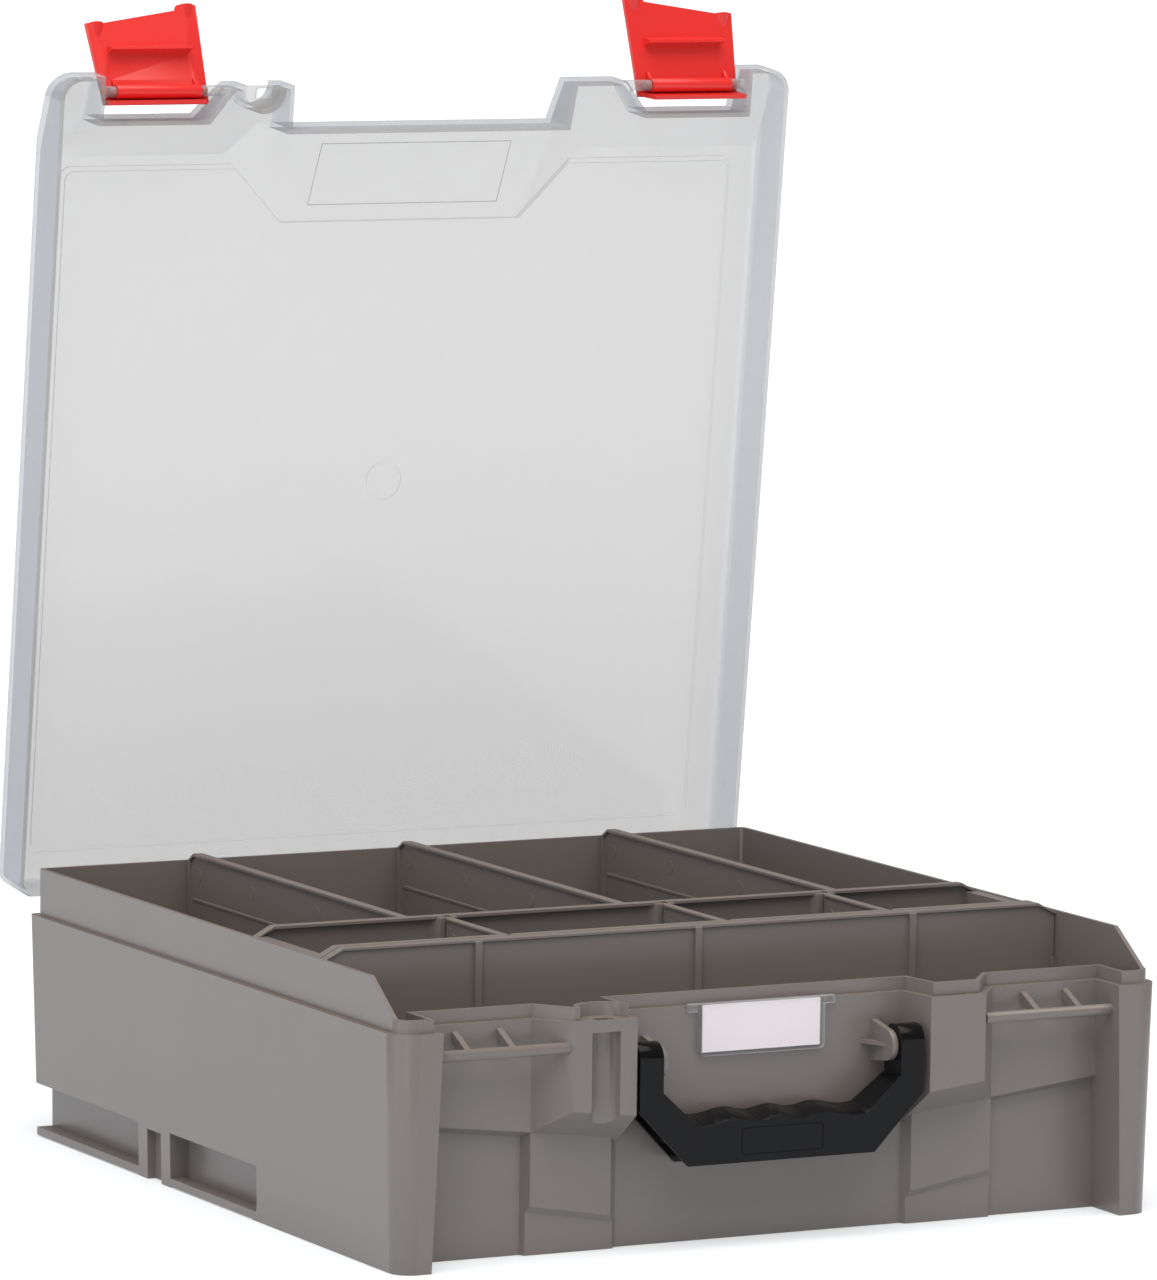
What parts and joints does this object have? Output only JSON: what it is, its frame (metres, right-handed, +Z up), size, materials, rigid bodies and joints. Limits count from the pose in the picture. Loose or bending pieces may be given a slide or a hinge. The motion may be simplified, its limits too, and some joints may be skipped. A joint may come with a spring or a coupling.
{
  "type": "compartment storage case",
  "caption": "Plastic storage case standing open: drafted tub, clear hinged lid, lever latches, folding carry handle, lift-out bin and removable dividers.",
  "frame": {"origin": "centre of the case's footprint, on the surface it stands on", "axes": "+Z up, -Y the front with the latches and the handle, +X to the right seen from the front"},
  "size_m": [0.41, 0.4582, 0.5705],
  "materials": {
    "grey_abs": "fine-textured moulded grey",
    "clear_lid": "clear moulding, lightly frosted",
    "clear_holder": "clear",
    "card": "plain card",
    "steel": "drawn",
    "red_latch": "moulded red",
    "black_handle": "moulded black"
  },
  "bodies": {
    "base": {"case_tub": "grey_abs", "label_holder": "clear_holder", "label_card": "card", "hinge_pins": "steel"},
    "lid": {"lid_shell": "clear_lid"},
    "latch_left": {"latch_left": "red_latch"},
    "latch_right": {"latch_right": "red_latch"},
    "handle": {"handle": "black_handle"},
    "bin": {"lift_out_bin": "grey_abs"},
    "partition": {"front_partition": "grey_abs"},
    "rear_divider_left": {"rear_divider_left": "grey_abs"},
    "middle_divider_left": {"middle_divider_left": "grey_abs"},
    "rear_divider_centre": {"rear_divider_centre": "grey_abs"},
    "middle_divider_centre": {"middle_divider_centre": "grey_abs"},
    "rear_divider_right": {"rear_divider_right": "grey_abs"},
    "middle_divider_right": {"middle_divider_right": "grey_abs"}
  },
  "joints": [
    {"name": "lid_hinge", "type": "hinge", "parent": "base", "child": "lid", "pos_m": [0, 0.2178, 0.1089], "axis": [-1, 0, 0], "range_deg": [-83.6, 15]},
    {"name": "latch_left_pivot", "type": "hinge", "parent": "lid", "child": "latch_left", "pos_m": [-0.15, 0.18057, 0.52514], "axis": [-1, 0, 0], "range_deg": [-121, 4]},
    {"name": "latch_right_pivot", "type": "hinge", "parent": "lid", "child": "latch_right", "pos_m": [0.15, 0.18057, 0.52514], "axis": [-1, 0, 0], "range_deg": [-112, 13]},
    {"name": "handle_swing", "type": "hinge", "parent": "base", "child": "handle", "pos_m": [0, -0.1945, 0.0895], "axis": [-1, 0, 0], "range_deg": [0, 100]},
    {"name": "bin_lift", "type": "slide", "parent": "base", "child": "bin", "axis": [0, 0, 1], "range_m": [0, 0.15]},
    {"name": "partition_lift", "type": "slide", "parent": "base", "child": "partition", "axis": [0, 0, 1], "range_m": [0, 0.15]},
    {"name": "rear_divider_left_lift", "type": "slide", "parent": "base", "child": "rear_divider_left", "axis": [0, 0, 1], "range_m": [0, 0.15]},
    {"name": "middle_divider_left_lift", "type": "slide", "parent": "bin", "child": "middle_divider_left", "axis": [0, 0, 1], "range_m": [0, 0.14]},
    {"name": "rear_divider_centre_lift", "type": "slide", "parent": "base", "child": "rear_divider_centre", "axis": [0, 0, 1], "range_m": [0, 0.15]},
    {"name": "middle_divider_centre_lift", "type": "slide", "parent": "bin", "child": "middle_divider_centre", "axis": [0, 0, 1], "range_m": [0, 0.14]},
    {"name": "rear_divider_right_lift", "type": "slide", "parent": "base", "child": "rear_divider_right", "axis": [0, 0, 1], "range_m": [0, 0.15]},
    {"name": "middle_divider_right_lift", "type": "slide", "parent": "bin", "child": "middle_divider_right", "axis": [0, 0, 1], "range_m": [0, 0.14]}
  ]
}
